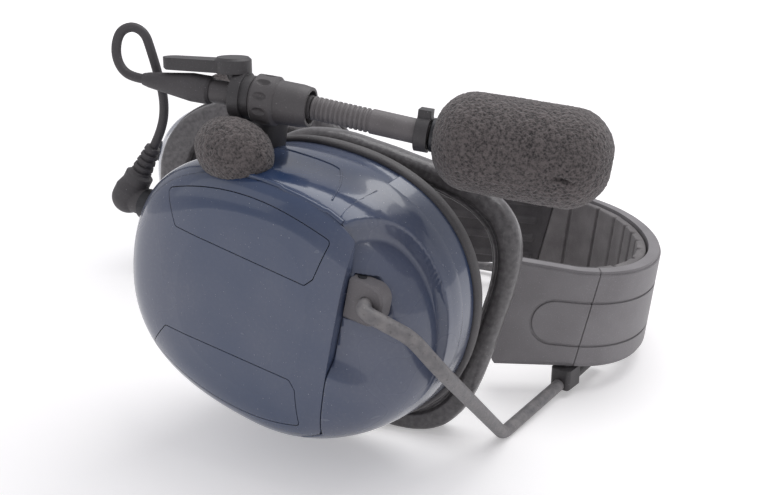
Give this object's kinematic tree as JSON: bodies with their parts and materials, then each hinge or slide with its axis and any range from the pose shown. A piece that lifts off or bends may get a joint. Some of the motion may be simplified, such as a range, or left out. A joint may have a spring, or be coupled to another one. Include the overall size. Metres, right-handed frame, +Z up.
{
  "type": "radio headphones",
  "caption": "Folding communication ear-muffs: two sound-proof cups on yoke wires, a sprung headband, a boom microphone with windscreen and its free cord.",
  "frame": {"origin": "centre of the footprint on the table, under the set as it lies", "axes": "+Z up, +X to the crown of the headband, -Y to the wearer's left side"},
  "size_m": [0.2403, 0.2578, 0.1385],
  "materials": {
    "navy_shell": "glossy moulded ABS, dusty",
    "black_plastic": "fine satin moulding",
    "grey_plastic": "satin moulding",
    "rubber": "soft matt rubber",
    "sleeve_grey": "worn, dusty sleeve",
    "leatherette": "padded leatherette",
    "pad_grey": "soft ribbed pad",
    "foam": "open-cell foam",
    "steel": "drawn steel",
    "brass": "turned contacts",
    "board": "circuit board",
    "cell": "plain cell jacket",
    "aluminium": "pressed frame"
  },
  "bodies": {
    "headband": {"left_band_leg": "grey_plastic", "right_band_leg": "grey_plastic", "crown_cover": "rubber", "crown_pad": "pad_grey", "left_leg_liner": "pad_grey", "right_leg_liner": "pad_grey", "spring_band": "steel", "band_screws": "steel"},
    "left_guide": {"left_wire_guide": "black_plastic"},
    "left_wire": {"left_yoke_wire": "steel", "left_wire_sleeve": "sleeve_grey"},
    "left_block": {"left_pivot_block": "grey_plastic", "left_pivot_pin": "steel"},
    "left_cup": {"left_cup_shell": "navy_shell", "left_rim_ring": "black_plastic", "left_baffle_plate": "black_plastic", "left_baffle_screws": "steel", "left_driver": "aluminium", "left_foam_liner": "foam", "left_mic_nub": "black_plastic", "left_mic_foam": "foam", "left_jack_socket": "brass", "circuit_board": "board", "batteries": "cell", "boom_socket": "black_plastic", "mic_plug": "rubber", "mic_cord": "rubber"},
    "left_door": {"left_cup_door": "navy_shell"},
    "left_front_key": {"left_front_button": "navy_shell"},
    "left_back_key": {"left_back_button": "navy_shell"},
    "left_cushion": {"left_ear_cushion": "leatherette"},
    "right_guide": {"right_wire_guide": "black_plastic"},
    "right_wire": {"right_yoke_wire": "steel", "right_wire_sleeve": "sleeve_grey"},
    "right_block": {"right_pivot_block": "grey_plastic", "right_pivot_pin": "steel"},
    "right_cup": {"right_cup_shell": "navy_shell", "right_rim_ring": "black_plastic", "right_baffle_plate": "black_plastic", "right_baffle_screws": "steel", "right_driver": "aluminium", "right_foam_liner": "foam", "right_mic_nub": "black_plastic", "right_mic_foam": "foam", "right_jack_socket": "brass"},
    "right_door": {"right_cup_door": "navy_shell"},
    "right_front_key": {"right_front_button": "navy_shell"},
    "right_back_key": {"right_back_button": "navy_shell"},
    "right_cushion": {"right_ear_cushion": "leatherette"},
    "boom_arm": {"boom_bracket": "black_plastic"},
    "clamp_nut": {"boom_nut": "black_plastic"},
    "boom": {"boom_tube": "black_plastic", "tail_boot": "rubber", "gooseneck": "black_plastic", "mic_capsule": "aluminium", "mic_windscreen": "foam", "windscreen_clip": "black_plastic"}
  },
  "joints": [
    {"name": "left_spread", "type": "hinge", "parent": "headband", "child": "left_guide", "pos_m": [0.0762, -0.0439, 0.0052], "axis": [0, 0, 1], "range_deg": [-5, 15]},
    {"name": "left_wire_slide", "type": "slide", "parent": "left_guide", "child": "left_wire", "axis": [-0.5928, -0.8023, -0.0698], "range_m": [0, 0.012]},
    {"name": "left_swivel", "type": "hinge", "parent": "left_wire", "child": "left_block", "pos_m": [0.00647, -0.11881, 0.06562], "axis": [-0.4498, -0.8926, 0.032], "range_deg": [-5, 5]},
    {"name": "left_tilt", "type": "hinge", "parent": "left_block", "child": "left_cup", "pos_m": [0.00288, -0.11643, 0.06616], "axis": [0.1812, -0.0561, 0.9818], "range_deg": [-4, 4]},
    {"name": "left_door_pull", "type": "slide", "parent": "left_cup", "child": "left_door", "axis": [-0.4498, -0.8926, 0.032], "range_m": [0, 0.015]},
    {"name": "left_front_press", "type": "slide", "parent": "left_door", "child": "left_front_key", "axis": [0.4498, 0.8926, -0.032], "range_m": [0, 0.0005], "stiffness_N_per_m": 1500},
    {"name": "left_back_press", "type": "slide", "parent": "left_door", "child": "left_back_key", "axis": [0.4498, 0.8926, -0.032], "range_m": [0, 0.0005], "stiffness_N_per_m": 1500},
    {"name": "right_spread", "type": "hinge", "parent": "headband", "child": "right_guide", "pos_m": [0.0762, 0.0737, 0.0052], "axis": [0, 0, 1], "range_deg": [-8, 15]},
    {"name": "right_wire_slide", "type": "slide", "parent": "right_guide", "child": "right_wire", "axis": [-0.8332, 0.5502, -0.055], "range_m": [-0.01, 0.003]},
    {"name": "right_swivel", "type": "hinge", "parent": "right_wire", "child": "right_block", "pos_m": [-0.0275, 0.1208, 0.0615], "axis": [0, 1, 0], "range_deg": [-8, 8]},
    {"name": "right_tilt", "type": "hinge", "parent": "right_block", "child": "right_cup", "pos_m": [-0.0318, 0.1203, 0.06125], "axis": [0, 0, 1], "range_deg": [-5, 5]},
    {"name": "right_door_pull", "type": "slide", "parent": "right_cup", "child": "right_door", "axis": [0, 1, 0], "range_m": [0, 0.012]},
    {"name": "right_front_press", "type": "slide", "parent": "right_door", "child": "right_front_key", "axis": [0, -1, 0], "range_m": [0, 0.0005], "stiffness_N_per_m": 1500},
    {"name": "right_back_press", "type": "slide", "parent": "right_door", "child": "right_back_key", "axis": [0, -1, 0], "range_m": [0, 0.0005], "stiffness_N_per_m": 1500},
    {"name": "left_cushion_close", "type": "hinge", "parent": "left_cup", "child": "left_cushion", "pos_m": [-0.04275, -0.04372, 0.06178], "axis": [0.1812, -0.0561, 0.9818], "range_deg": [-6, 10]},
    {"name": "right_cushion_pull", "type": "slide", "parent": "right_cup", "child": "right_cushion", "axis": [0, -1, 0], "range_m": [0, 0.012]},
    {"name": "boom_swivel", "type": "hinge", "parent": "left_cup", "child": "boom_arm", "pos_m": [-0.02876, -0.07108, 0.10489], "axis": [-0.1812, 0.0561, -0.9818], "range_deg": [0, 180], "deforming": ["mic_cord", "left_mic_foam"]},
    {"name": "boom_nut_turn", "type": "hinge", "parent": "boom_arm", "child": "clamp_nut", "pos_m": [-0.0263, -0.08422, 0.11682], "axis": [0.9663, -0.23, -0.1159], "range_deg": [0, 180]},
    {"name": "boom_slide", "type": "slide", "parent": "boom_arm", "child": "boom", "axis": [0.9663, -0.23, -0.1159], "range_m": [-0.01, 0.007], "deforming": ["mic_cord"]}
  ]
}
